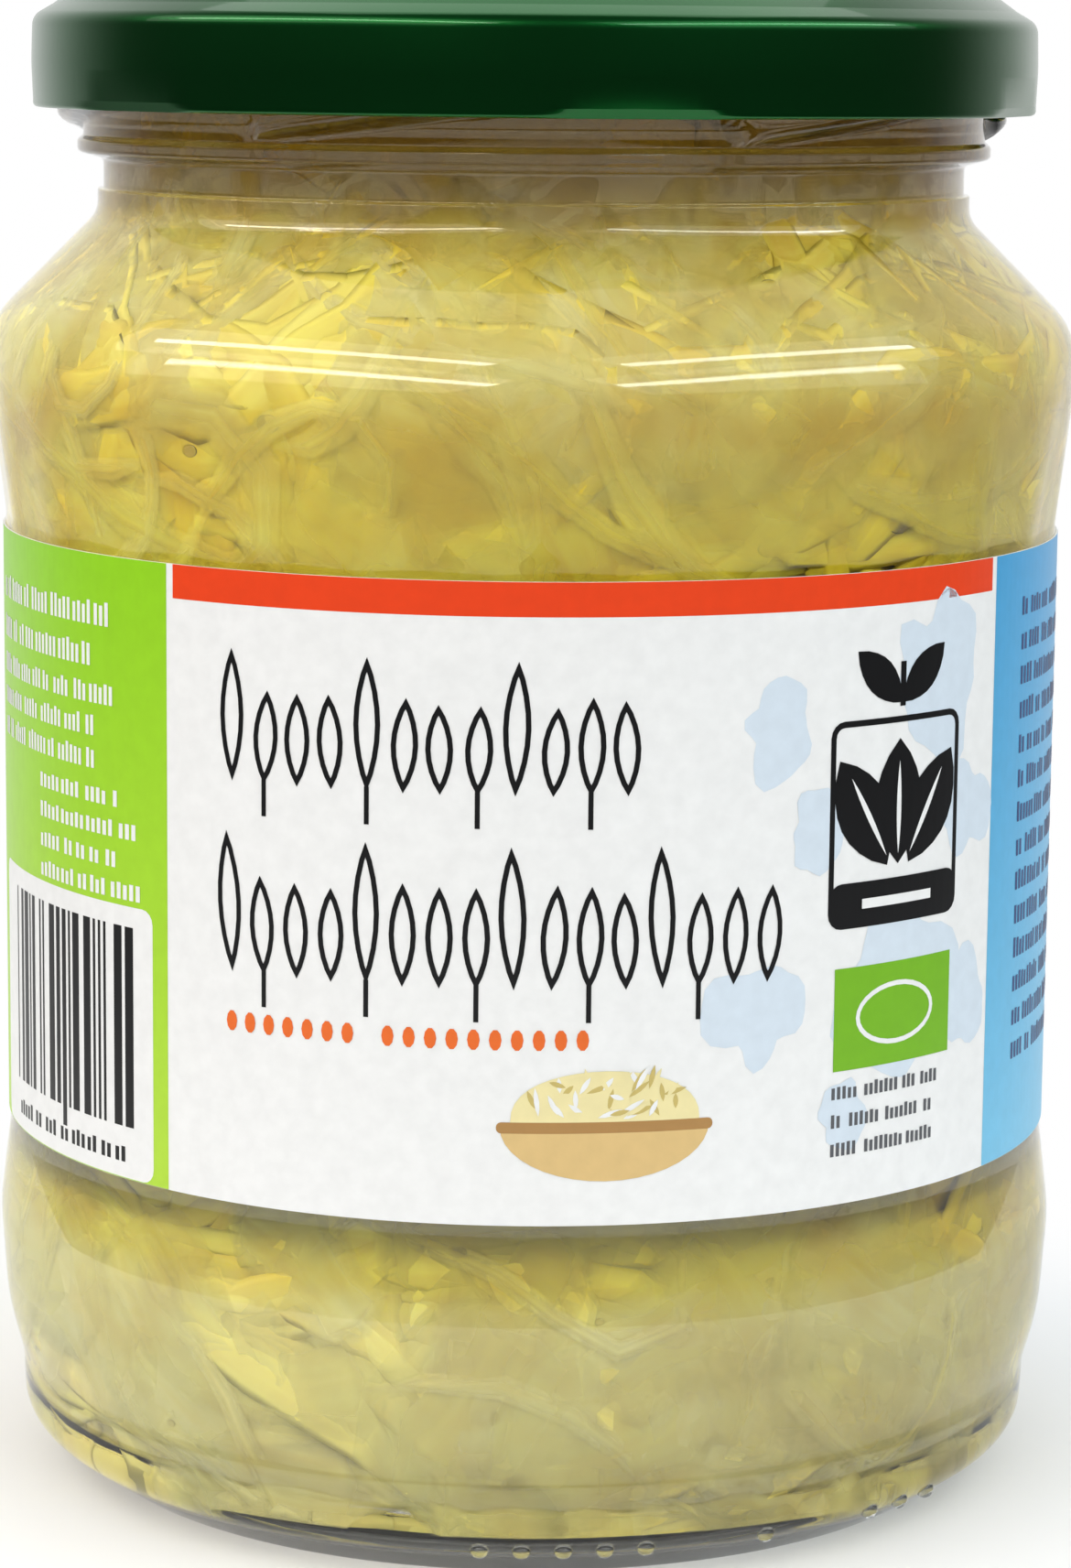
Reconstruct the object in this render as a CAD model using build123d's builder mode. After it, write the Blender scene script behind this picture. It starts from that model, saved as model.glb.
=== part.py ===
from build123d import *
import math
import os

os.makedirs("parts", exist_ok=True)

# A filled glass preserving jar with a six-lug twist-off lid and a wrap-round paper label.
# Millimetres. The jar stands on Z = 0 about the Z axis, and its front faces -Y.
# Angles round the jar are measured from the front, and grow towards +X.

# Glass: outside. The mouth hangs from the rim, the shoulder from the neck and the label's panel
# from the shoulder. The bands and the heel follow the panel's radius.
rim_z = 127.3
mouth_r = 38.6
collar_z = rim_z - 12.8
collar_r = mouth_r + 0.5
neck_r = mouth_r - 1.7
neck_step = 0.5
neck_step_z = collar_z - 3.6
panel_r = 45.5
high_band_r = panel_r + 1.2
low_band_r = panel_r + 0.95
heel_r = panel_r - 1.1
foot_r = heel_r - 6.2
slope_low_z = neck_step_z - 2.0
shoulder_z = slope_low_z - (high_band_r - neck_r - neck_step)
shoulder_round = 6.0
high_band_z = shoulder_z - 5.4
panel_high_z = high_band_z - 10.8
panel_low_z = 30.0
low_band_z = 22.5
heel_z = 4.3

# Glass: inside
wall = 2.9
floor_z = 5.6
floor_rise = 1.0
foot_hollow = 2.4
inner_neck_r = neck_r - 2.6
inner_mouth_r = mouth_r - 3.2

# Upright facets moulded round the taper under the top band
facet_count = 26
facet_angle = 3.3
facet_depth = 0.3
facet_high_z = high_band_z + 1.2

# Small bumps round the heel
bump_r = 0.8
bump_ring_r = heel_r - 1.4
bump_z = heel_z - 0.7
bump_angles = [-4.5, 0, 4.5, 9, 13.5, 27.5, 42, 47, 52]

# Screw ridges of the mouth
lug_count = 6
lug_angle = 11.0
ridge_lead = 18.0
ridge_span = 56.0
ridge_tilt = 7.9
ridge_z = rim_z - 8.2
ridge_half = 1.15
ridge_reach = 2.2

# Lid
sheet = 0.35
lid_r = mouth_r + 4.2
lid_low_z = rim_z - 9.6
lid_skirt_z = rim_z - 2.0
lid_bulge = 0.12
lid_top_r = mouth_r + 0.6
lid_crease_r = mouth_r + 2.4
lid_crease_drop = 1.3
dish_r = inner_mouth_r - 0.6
dish_depth = 1.3
button_r = 14.0
button_rise = 0.7
curl_r = 0.75

# Lugs of the lid, which hook under the ridges
lug_tip_r = mouth_r + 1.0
lug_high = 1.1
lug_span = 15.0
dent_span = 22.0
dent_high = 1.5

# Label
label_low_z = panel_low_z + 1.2
label_high_z = panel_high_z - 1.0
label_thick = 0.15
label_gap = 20.0

# Contents
contents_clear = 0.05
fill_z = rim_z - 4.1
lump_count = 6
lump_ring_r = 20.0
lump_r = 11.0
lump_rise = 0.8


def heading(angle):
    """The level direction at an angle from the front."""
    turn = math.radians(angle - 90)
    return Vector(math.cos(turn), math.sin(turn), 0)


def rounded_line(corners):
    """Lines through (r, z, rounding) corners, with an arc at each corner. A rounding too big for its
    neighbouring lines shrinks to fit them."""
    last = Vector(corners[0][0], corners[0][1])
    for before, here, after in zip(corners, corners[1:], corners[2:]):
        corner = Vector(here[0], here[1])
        back = Vector(before[0], before[1]) - corner
        ahead = Vector(after[0], after[1]) - corner
        room = 0.49 * min(back.length, ahead.length)
        back = back.normalized()
        ahead = ahead.normalized()
        if here[2] <= 0:
            Line(last, corner)
            last = corner
            continue
        half = math.acos(max(-1.0, min(1.0, back.dot(ahead)))) / 2
        leg = min(here[2] / math.tan(half), room)
        rounding = leg * math.tan(half)
        centre = corner + (back + ahead).normalized() * (rounding / math.sin(half))
        start = corner + back * leg
        end = corner + ahead * leg
        middle = centre + (corner - centre).normalized() * rounding
        Line(last, start)
        ThreePointArc(start, middle, end)
        last = end
    Line(last, Vector(corners[-1][0], corners[-1][1]))


def underside(corners, gap):
    """The same corners moved to the right of their line by the thickness of a sheet."""
    sides = []
    for one, two in zip(corners, corners[1:]):
        along = (Vector(two[0], two[1]) - Vector(one[0], one[1])).normalized()
        sides.append(along)
    moved = []
    for index, (r, z, rounding) in enumerate(corners):
        into = sides[max(index - 1, 0)]
        away = sides[min(index, len(sides) - 1)]
        first = Vector(into.Y, -into.X)
        second = Vector(away.Y, -away.X)
        turn = into.X * away.Y - into.Y * away.X
        point = Vector(r, z) + (first + second) * (gap / (1 + first.dot(second)))
        moved.append((point.X, point.Y, rounding + (gap if turn > 0 else -gap)))
    return moved


# The outline of the glass from the middle of the base, up the outside and over the rim
outside = [
    (0, foot_hollow, 0),
    (foot_r - 8.0, foot_hollow - 0.6, 8),
    (foot_r - 3.4, 0, 1.2),
    (foot_r, 0, 3),
    (heel_r, heel_z, 3.6),
    (heel_r + 0.2, heel_z + 5.2, 8),
    (low_band_r - 0.55, 14.0, 30),
    (low_band_r, low_band_z, 16),
    (panel_r, panel_low_z, 6),
    (panel_r, panel_high_z, 3),
    (high_band_r, high_band_z, 3),
    (high_band_r, shoulder_z, shoulder_round),
    (neck_r + neck_step, slope_low_z, 2.4),
    (neck_r + neck_step, neck_step_z, 0.2),
    (neck_r, neck_step_z, 0.2),
    (neck_r, collar_z - 1.1, 0.5),
    (collar_r, collar_z - 0.5, 0.45),
    (collar_r, collar_z + 0.5, 0.45),
    (mouth_r, collar_z + 0.9, 0.3),
    (mouth_r, rim_z - 0.9, 0.4),
    (mouth_r - 0.9, rim_z, 0.4),
    (inner_mouth_r + 0.6, rim_z, 0.4),
]

# The outline of the hollow, from the mouth down to the middle of the floor
hollow = [
    (inner_mouth_r, rim_z - 1.0, 0.4),
    (inner_mouth_r, collar_z + 2.5, 4),
    (inner_neck_r, collar_z - 1.5, 4),
    (inner_neck_r, slope_low_z - 1.0, 5),
    (high_band_r - wall, shoulder_z - 1.8, 6),
    (high_band_r - wall, high_band_z, 12),
    (panel_r - wall, panel_high_z, 12),
    (panel_r - wall, panel_low_z, 12),
    (low_band_r - wall - 0.3, low_band_z, 14),
    (heel_r - wall, floor_z, 7),
    (0, floor_z + floor_rise, 0),
]

with BuildPart() as glass:
    with BuildSketch(Plane.XZ):
        with BuildLine():
            rounded_line(outside + hollow)
            Line((0, floor_z + floor_rise), (0, foot_hollow))
        make_face()
    revolve(axis=Axis.Z)

    # Facets: flats that lean out and end in a low arch under the top band
    facet_low_z = panel_high_z - 0.4
    facet_lean = math.degrees(
        math.atan2(high_band_r - panel_r + facet_depth, facet_high_z - panel_high_z)
    )
    with PolarLocations(0, facet_count, start_angle=facet_angle - 90):
        with Locations((panel_r - facet_depth, 0, facet_low_z)):
            with Locations(Rotation(0, facet_lean, 0)):
                Box(
                    3,
                    14,
                    facet_high_z - facet_low_z + 2,
                    align=(Align.MIN, Align.CENTER, Align.MIN),
                    mode=Mode.SUBTRACT,
                )

    # Ridges: arcs of a ring that leans about the middle of its own ridge
    for index in range(lug_count):
        out = heading(lug_angle - ridge_lead + index * 360 / lug_count)
        lean = Axis((0, 0, 0), tuple(out))
        up = Vector(0, 0, 1).rotate(lean, ridge_tilt)
        post = Axis((0, 0, ridge_z), tuple(up))
        start = out.rotate(Axis((0, 0, 0), tuple(up)), -ridge_span / 2)
        with BuildSketch(Plane(origin=(0, 0, ridge_z), x_dir=start, z_dir=start.cross(up))):
            with Locations((mouth_r, 0)):
                Ellipse(ridge_reach, ridge_half)
        revolve(axis=post, revolution_arc=ridge_span)

    for angle in bump_angles:
        spot = heading(angle) * bump_ring_r
        with Locations((spot.X, spot.Y, bump_z)):
            Sphere(bump_r)

glass.part.label = "glass_jar"

# The lid's outside, from the middle of its button to the lower end of its skirt
lid_z = rim_z + sheet
crease_z = lid_z - lid_crease_drop
lid_outside = [
    (0, lid_z - dish_depth + button_rise, 0),
    (button_r - 2.5, lid_z - dish_depth + button_rise, 4),
    (button_r, lid_z - dish_depth, 4),
    (dish_r, lid_z - dish_depth, 0.5),
    (dish_r + 0.8, lid_z, 0.5),
    (lid_top_r, lid_z, 1.2),
    (lid_crease_r, crease_z, 0.6),
    (lid_r, lid_skirt_z, 1.4),
    (lid_r + lid_bulge, (lid_skirt_z + lid_low_z) / 2, 20),
    (lid_r, lid_low_z + curl_r, 0),
]
lid_inside = underside(lid_outside, sheet)

with BuildPart() as lid:
    with BuildSketch(Plane.XZ) as section:
        with BuildLine():
            rounded_line(lid_outside + lid_inside[::-1])
            Line((0, lid_inside[0][1]), (0, lid_outside[0][1]))
        make_face()
        with Locations((lid_r - curl_r, lid_low_z + curl_r)):
            Circle(curl_r)
    revolve(axis=Axis.Z)

    # Lugs: the curl pressed inwards, so that a dent shows on the skirt outside each one
    dent_depth = lid_r * (1 - math.cos(math.radians(dent_span / 2)))
    dent_lean = math.degrees(math.atan2(dent_depth, dent_high))
    with PolarLocations(0, lug_count, start_angle=lug_angle - 90):
        with Locations((lid_r - dent_depth, 0, lid_low_z)):
            with Locations(Rotation(0, dent_lean, 0)):
                Box(3, 24, 6, align=(Align.MIN, Align.CENTER, Align.CENTER), mode=Mode.SUBTRACT)
    for index in range(lug_count):
        start = heading(lug_angle - lug_span / 2 + index * 360 / lug_count)
        side = start.cross(Vector(0, 0, 1))
        with BuildSketch(Plane(origin=(0, 0, lid_low_z + 0.05), x_dir=start, z_dir=side)):
            with Locations((lug_tip_r, 0)):
                SlotOverall(lid_r - curl_r - lug_tip_r, lug_high, align=(Align.MIN, Align.MIN))
        revolve(axis=Axis.Z, revolution_arc=lug_span)

lid.part.label = "lid"

with BuildPart() as label:
    start = heading(-180 + label_gap / 2)
    side = start.cross(Vector(0, 0, 1))
    with BuildSketch(Plane(origin=(0, 0, 0), x_dir=start, z_dir=side)):
        with Locations((panel_r, label_low_z)):
            Rectangle(label_thick, label_high_z - label_low_z, align=(Align.MIN, Align.MIN))
    revolve(axis=Axis.Z, revolution_arc=360 - label_gap)

label.part.label = "label"

# The packed shreds and their brine: all of the hollow up to just under the lid
packed = [(0, fill_z, 0), (inner_mouth_r - contents_clear, fill_z, 1.2)]
packed += [(r - contents_clear, z, rounding) for r, z, rounding in hollow[1:-1]]
packed[-1] = (heel_r - wall - contents_clear, floor_z + contents_clear, 7)
packed += [(0, floor_z + floor_rise + contents_clear, 0)]

with BuildPart() as contents:
    with BuildSketch(Plane.XZ):
        with BuildLine():
            rounded_line(packed)
            Line((0, floor_z + floor_rise + contents_clear), (0, fill_z))
        make_face()
    revolve(axis=Axis.Z)
    with PolarLocations(lump_ring_r, lump_count):
        with Locations((0, 0, fill_z + lump_rise - lump_r)):
            Sphere(lump_r)

contents.part.label = "sauerkraut"

export_step(glass.part, "parts/glass_jar.step")
export_step(lid.part, "parts/lid.step")
export_step(label.part, "parts/label.step")
export_step(contents.part, "parts/sauerkraut.step")
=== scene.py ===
# %% [markdown]
# # A jar of sauerkraut
# The jar is four things: clear glass, a green lacquered twist-off lid, a printed paper label, and
# shredded cabbage packed in its own brine. The CAD frame gives every size. This script puts smooth,
# finely made pieces in the place of the plain CAD solids and gives them their finishes.

# %% Load the frame
import math
import random

import bmesh
import bpy
import numpy as np
from mathutils import Matrix, Vector, noise


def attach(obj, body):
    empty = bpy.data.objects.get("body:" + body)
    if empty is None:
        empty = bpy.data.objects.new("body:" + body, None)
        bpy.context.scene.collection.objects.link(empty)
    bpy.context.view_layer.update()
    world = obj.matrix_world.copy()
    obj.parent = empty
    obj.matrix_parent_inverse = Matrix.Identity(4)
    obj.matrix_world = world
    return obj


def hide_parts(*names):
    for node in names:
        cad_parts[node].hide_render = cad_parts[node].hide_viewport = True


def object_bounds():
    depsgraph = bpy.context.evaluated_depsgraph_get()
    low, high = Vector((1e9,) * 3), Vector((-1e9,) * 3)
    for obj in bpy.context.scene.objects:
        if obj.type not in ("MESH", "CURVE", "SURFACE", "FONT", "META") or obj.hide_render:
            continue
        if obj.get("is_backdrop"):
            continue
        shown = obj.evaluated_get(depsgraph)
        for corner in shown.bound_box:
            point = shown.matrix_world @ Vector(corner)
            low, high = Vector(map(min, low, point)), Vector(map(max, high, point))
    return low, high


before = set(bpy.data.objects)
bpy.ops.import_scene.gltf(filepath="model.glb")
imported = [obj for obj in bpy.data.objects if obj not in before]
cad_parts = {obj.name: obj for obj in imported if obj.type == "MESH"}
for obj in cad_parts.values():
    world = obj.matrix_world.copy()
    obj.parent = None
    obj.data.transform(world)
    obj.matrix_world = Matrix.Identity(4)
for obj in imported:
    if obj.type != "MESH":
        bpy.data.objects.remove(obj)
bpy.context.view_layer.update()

MM = 0.001

# %% [markdown]
# ## Sizes
# Sizes are in millimetres. Radii are from the jar's axis, and heights are from the surface it
# stands on. The front faces -Y, and angles are measured from the front towards +X.

# %% Sizes of the glass
PANEL_R, PANEL_LOW, PANEL_HIGH = 45.5, 30.0, 83.4
BAND_R, BAND_Z, SHOULDER_Z = 46.7, 94.2, 99.6
LOW_BAND_R, LOW_BAND_Z = 46.45, 22.5
HEEL_R, HEEL_Z, FOOT_R = 44.4, 4.3, 38.2
NECK_R, NECK_STEP, NECK_STEP_Z = 36.9, 0.5, 110.9
COLLAR_R, COLLAR_Z = 39.1, 114.5
MOUTH_R, RIM_Z = 38.6, 127.3
WALL, FLOOR_Z, FLOOR_RISE, FOOT_HOLLOW = 2.9, 4.1, 1.0, 2.4
INNER_NECK_R, INNER_MOUTH_R = 34.3, 35.4
SLOPE_LOW = SHOULDER_Z + BAND_R - NECK_R - NECK_STEP
FACETS, FACET_ANGLE, FACET_DEPTH, FACET_HIGH = 26, 3.3, 0.3, 95.4
LUGS, LUG_ANGLE = 6, 11.0
RIDGE_LEAD, RIDGE_SPAN, RIDGE_TILT = 18.0, 56.0, 7.9
RIDGE_Z, RIDGE_HALF, RIDGE_REACH = 119.1, 1.15, 2.2
BUMP_ANGLES = [-4.5, 0, 4.5, 9, 13.5, 27.5, 42, 47, 52]
FILL_Z = 122.6
print("glass sizes set, slope ends at", round(SLOPE_LOW, 1), "mm")

# %% [markdown]
# ## Turned shapes
# Glass jars, lids and sleeves are all shapes of revolution. Each starts as an outline of corners in
# the XZ plane. The corners are rounded, and Spin carries the outline round the axis. Spin with
# use_merge closes the last step onto the first, so there is no seam.


# %% Outline and spin helpers
def rounded(corners, steps=6):
    """Points along (r, z, rounding) corners, with an arc of a few steps at each corner."""
    points = [(corners[0][0], corners[0][1])]
    for before, here, after in zip(corners, corners[1:], corners[2:]):
        corner = Vector(here[:2])
        back = Vector(before[:2]) - corner
        ahead = Vector(after[:2]) - corner
        if here[2] <= 0:
            points.append(tuple(corner))
            continue
        half = back.angle(ahead) / 2
        leg = min(here[2] / math.tan(half), 0.49 * min(back.length, ahead.length))
        radius = leg * math.tan(half)
        middle = (back.normalized() + ahead.normalized()).normalized()
        centre = corner + middle * (radius / math.sin(half))
        start = corner + back.normalized() * leg - centre
        turn = start.angle_signed(corner + ahead.normalized() * leg - centre)
        for step in range(steps + 1):
            spoke = start.copy()
            spoke.rotate(Matrix.Rotation(-turn * step / steps, 2))
            points.append(tuple(centre + spoke))
    points.append((corners[-1][0], corners[-1][1]))
    return points


def split_long(points, low, high, step):
    """Adds points to the stretches between two heights, so that none is longer than a step."""
    out = [points[0]]
    for a, b in zip(points, points[1:]):
        count = 1
        if max(a[1], b[1]) > low and min(a[1], b[1]) < high:
            count = max(1, math.ceil(math.dist(a, b) / step))
        for k in range(1, count + 1):
            out.append((a[0] + (b[0] - a[0]) * k / count, a[1] + (b[1] - a[1]) * k / count))
    return out


def spin_outline(points, steps, start=0.0, angle=360.0, closed=False):
    """A bmesh of an outline spun about Z from a heading."""
    bm = bmesh.new()
    out = heading(start)
    ring = [bm.verts.new((out.x * r, out.y * r, z)) for r, z in points]
    edges = [bm.edges.new(pair) for pair in zip(ring, ring[1:])]
    if closed:
        edges.append(bm.edges.new((ring[-1], ring[0])))
    bmesh.ops.spin(
        bm,
        geom=ring + edges,
        cent=(0, 0, 0),
        axis=(0, 0, 1),
        angle=math.radians(angle),
        steps=steps,
        use_merge=angle == 360.0,
    )
    bmesh.ops.remove_doubles(bm, verts=bm.verts, dist=1e-4)
    return bm


def heading(angle):
    """The level direction at an angle from the front."""
    turn = math.radians(angle - 90)
    return Vector((math.cos(turn), math.sin(turn), 0))


def angle_of(point):
    """The angle of a point from the front, in degrees."""
    return math.degrees(math.atan2(point.x, -point.y))


def finish_piece(bm, name, paints, smooth=True, recalc=True):
    """Turns a bmesh in millimetres into a piece in metres that rides on the jar."""
    if recalc:
        bmesh.ops.recalc_face_normals(bm, faces=bm.faces)
    bmesh.ops.scale(bm, vec=(MM, MM, MM), verts=bm.verts)
    mesh = bpy.data.meshes.new(name)
    bm.to_mesh(mesh)
    bm.free()
    return add_piece(mesh, name, paints, smooth)


def add_piece(mesh, name, paints, smooth=True):
    """Puts a finished mesh in the scene with its materials, and fixes it to the jar's body."""
    mesh.polygons.foreach_set("use_smooth", [smooth] * len(mesh.polygons))
    piece = bpy.data.objects.new(name, mesh)
    bpy.context.scene.collection.objects.link(piece)
    for paint in paints:
        mesh.materials.append(paint)
    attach(piece, "root")
    mesh.calc_loop_triangles()
    print(name, "triangles", len(mesh.loop_triangles))
    return piece


# %% [markdown]
# ## Finishes
# Colours are written as they look on a screen and turned into the linear values a shader needs.
# Glass and brine let lamps through with the Light Path trick: for a lamp's ray they are a plain
# clear filter. Without it a packed jar would need thousands of samples before it was lit inside.


# %% Material helpers
def paint(red, green, blue):
    """A linear colour from screen values of 0 to 255."""
    parts = []
    for value in (red, green, blue):
        value /= 255
        parts.append(value / 12.92 if value <= 0.04045 else ((value + 0.055) / 1.055) ** 2.4)
    return (*parts, 1.0)


def new_material(name):
    """A material with an empty node tree, and the things most of them need."""
    material = bpy.data.materials.new(name)
    material.use_nodes = True
    tree = material.node_tree
    tree.nodes.clear()
    out = tree.nodes.new("ShaderNodeOutputMaterial")
    shader = tree.nodes.new("ShaderNodeBsdfPrincipled")
    tree.links.new(shader.outputs[0], out.inputs["Surface"])
    place = tree.nodes.new("ShaderNodeTexCoord").outputs["Object"]
    return material, tree, shader, out, place


def add_noise(tree, place, scale, detail=3.0, stretch=(1, 1, 1), rough=0.5):
    """The factor of a noise pattern in the piece's own space, stretched along an axis if asked."""
    mapping = tree.nodes.new("ShaderNodeMapping")
    mapping.inputs["Scale"].default_value = stretch
    tree.links.new(place, mapping.inputs["Vector"])
    pattern = tree.nodes.new("ShaderNodeTexNoise")
    pattern.inputs["Scale"].default_value = scale
    pattern.inputs["Detail"].default_value = detail
    pattern.inputs["Roughness"].default_value = rough
    tree.links.new(mapping.outputs[0], pattern.inputs["Vector"])
    return pattern.outputs["Fac"]


def add_ramp(tree, factor, stops):
    """A colour ramp with (position, colour) stops."""
    ramp = tree.nodes.new("ShaderNodeValToRGB")
    elements = ramp.color_ramp.elements
    while len(elements) < len(stops):
        elements.new(0.5)
    for element, (position, colour) in zip(elements, stops):
        element.position = position
        element.color = colour
    tree.links.new(factor, ramp.inputs["Fac"])
    return ramp.outputs["Color"]


def add_mix(tree, factor, first, second, kind="MIX"):
    """A mix of two colours. Each of the three may be a value or a socket."""
    mix = tree.nodes.new("ShaderNodeMix")
    mix.data_type = "RGBA"
    mix.blend_type = kind
    for socket, value in ((mix.inputs[0], factor), (mix.inputs[6], first), (mix.inputs[7], second)):
        if isinstance(value, bpy.types.NodeSocket):
            tree.links.new(value, socket)
        else:
            socket.default_value = value
    return mix.outputs[2]


def add_bump(tree, shader, height, strength, distance):
    """Relief on a shader from a height socket. The distance is in metres."""
    bump = tree.nodes.new("ShaderNodeBump")
    bump.inputs["Strength"].default_value = strength
    bump.inputs["Distance"].default_value = distance
    tree.links.new(height, bump.inputs["Height"])
    tree.links.new(bump.outputs[0], shader.inputs["Normal"])


def clear_material(name, tint, shade, ior, roughness):
    """Glass or brine: bends light for the eye, and is a plain filter for lamps."""
    material, tree, shader, out, place = new_material(name)
    shader.inputs["Base Color"].default_value = tint
    shader.inputs["Transmission Weight"].default_value = 1.0
    shader.inputs["IOR"].default_value = ior
    shader.inputs["Roughness"].default_value = roughness
    filter_shader = tree.nodes.new("ShaderNodeBsdfTransparent")
    filter_shader.inputs["Color"].default_value = shade
    choose = tree.nodes.new("ShaderNodeMixShader")
    path = tree.nodes.new("ShaderNodeLightPath")
    tree.links.new(path.outputs["Is Shadow Ray"], choose.inputs[0])
    tree.links.new(shader.outputs[0], choose.inputs[1])
    tree.links.new(filter_shader.outputs[0], choose.inputs[2])
    tree.links.new(choose.outputs[0], out.inputs["Surface"])
    return material, tree, shader, place


glass_paint, tree, shader, place = clear_material(
    "clear_glass", paint(252, 253, 251), (1, 1, 1, 1), 1.5, 0.0
)
add_bump(tree, shader, add_noise(tree, place, 60, 1.0, (1, 1, 0.3)), 0.12, 0.0008)
brine_paint = clear_material("brine", paint(255, 252, 238), paint(255, 253, 240), 1.33, 0.0)[0]
print("materials for glass and brine")

# %% [markdown]
# ## The glass
# A moulded jar is thick clear glass: a foot ring, a rounded heel, a sunk panel that protects the
# label, a shoulder, a neck and a mouth with slanting screw ridges. The outline is spun, and the
# ridges and the flats under the top band are pushed into the spun surface, so that the glass stays
# one closed skin with nothing inside it to bend light twice.

# %% Outlines of the glass
outside = [
    (0, FOOT_HOLLOW, 0),
    (FOOT_R - 8.0, FOOT_HOLLOW - 0.6, 8),
    (FOOT_R - 3.4, 0, 1.2),
    (FOOT_R, 0, 3),
    (HEEL_R, HEEL_Z, 3.6),
    (HEEL_R + 0.2, HEEL_Z + 5.2, 8),
    (LOW_BAND_R - 0.55, 14.0, 30),
    (LOW_BAND_R, LOW_BAND_Z, 16),
    (PANEL_R, PANEL_LOW, 6),
    (PANEL_R, PANEL_HIGH, 3),
    (BAND_R, BAND_Z, 3),
    (BAND_R, SHOULDER_Z, 6),
    (NECK_R + NECK_STEP, SLOPE_LOW, 2.4),
    (NECK_R + NECK_STEP, NECK_STEP_Z, 0.2),
    (NECK_R, NECK_STEP_Z, 0.2),
    (NECK_R, COLLAR_Z - 1.1, 0.5),
    (COLLAR_R, COLLAR_Z - 0.5, 0.45),
    (COLLAR_R, COLLAR_Z + 0.5, 0.45),
    (MOUTH_R, COLLAR_Z + 0.9, 0.3),
    (MOUTH_R, RIM_Z - 0.9, 0.4),
    (MOUTH_R - 0.9, RIM_Z, 0.4),
    (INNER_MOUTH_R + 0.6, RIM_Z, 0.4),
]
hollow = [
    (INNER_MOUTH_R, RIM_Z - 1.0, 0.4),
    (INNER_MOUTH_R, COLLAR_Z + 2.5, 4),
    (INNER_NECK_R, COLLAR_Z - 1.5, 4),
    (INNER_NECK_R, SLOPE_LOW - 1.0, 5),
    (BAND_R - WALL, SHOULDER_Z - 1.8, 6),
    (BAND_R - WALL, BAND_Z, 12),
    (PANEL_R - WALL, PANEL_HIGH, 12),
    (PANEL_R - WALL, PANEL_LOW, 12),
    (LOW_BAND_R - WALL - 0.3, LOW_BAND_Z, 14),
    (HEEL_R - WALL, FLOOR_Z, 7),
    (0, FLOOR_Z + FLOOR_RISE, 0),
]
outer_line = split_long(rounded(outside), 82.5, 97.5, 0.9)
outer_line = split_long(outer_line, 115.0, 122.8, 0.35)
inner_line = rounded([outside[-1]] + hollow)
glass_outline = outer_line + inner_line[1:]
print("points on the glass outline:", len(glass_outline))


# %% Spin the glass and mould its surface
def ridge_height(angle, z):
    """How far the screw ridges stand out of the mouth at an angle and a height."""
    best = 0.0
    for index in range(LUGS):
        middle = LUG_ANGLE - RIDGE_LEAD + index * 360 / LUGS
        off = (angle - middle + 180) % 360 - 180
        if abs(off) > RIDGE_SPAN / 2:
            continue
        lift = MOUTH_R * math.sin(math.radians(off)) * math.sin(math.radians(RIDGE_TILT))
        away = (z - RIDGE_Z - lift) / RIDGE_HALF
        if abs(away) < 1:
            run_out = min(1.0, (RIDGE_SPAN / 2 - abs(off)) / 7.0)
            best = max(best, RIDGE_REACH * math.sqrt(1 - away * away) * math.sqrt(run_out))
    return best


facet_lean = (BAND_R - PANEL_R + FACET_DEPTH) / (FACET_HIGH - PANEL_HIGH)
facet_step = 360 / FACETS
bm = spin_outline(glass_outline, FACETS * 8, start=FACET_ANGLE)
for vert in bm.verts:
    radius = math.hypot(vert.co.x, vert.co.y)
    z = vert.co.z
    if radius < 1:
        continue
    angle = angle_of(vert.co)
    scale = 1.0
    if PANEL_HIGH - 0.4 < z < 97.5 and radius > PANEL_R - 0.5:
        off = (angle - FACET_ANGLE + facet_step / 2) % facet_step - facet_step / 2
        flat = PANEL_R - FACET_DEPTH + (z - PANEL_HIGH + 0.4) * facet_lean
        scale = min(1.0, flat / math.cos(math.radians(off)) / radius)
    elif 115.3 < z < 122.6 and radius > MOUTH_R - 0.3:
        scale = 1 + ridge_height(angle, z) / radius
    vert.co.x *= scale
    vert.co.y *= scale
for bump_angle in BUMP_ANGLES:
    made = bmesh.ops.create_uvsphere(bm, u_segments=12, v_segments=8, radius=0.8)["verts"]
    bmesh.ops.translate(bm, verts=made, vec=heading(bump_angle) * 43.0 + Vector((0, 0, 3.6)))
glass = finish_piece(bm, "jar_glass", [glass_paint])
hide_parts("glass_jar")

# %% [markdown]
# ## The lid
# The lid is pressed from thin lacquered tinplate: a flat sealing ring, a sunk dish with a safety
# button, a sloping shoulder and a short skirt whose edge is curled inwards. At each of the six lugs
# the curl is squeezed in, which leaves a shallow crescent in the edge.

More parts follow.
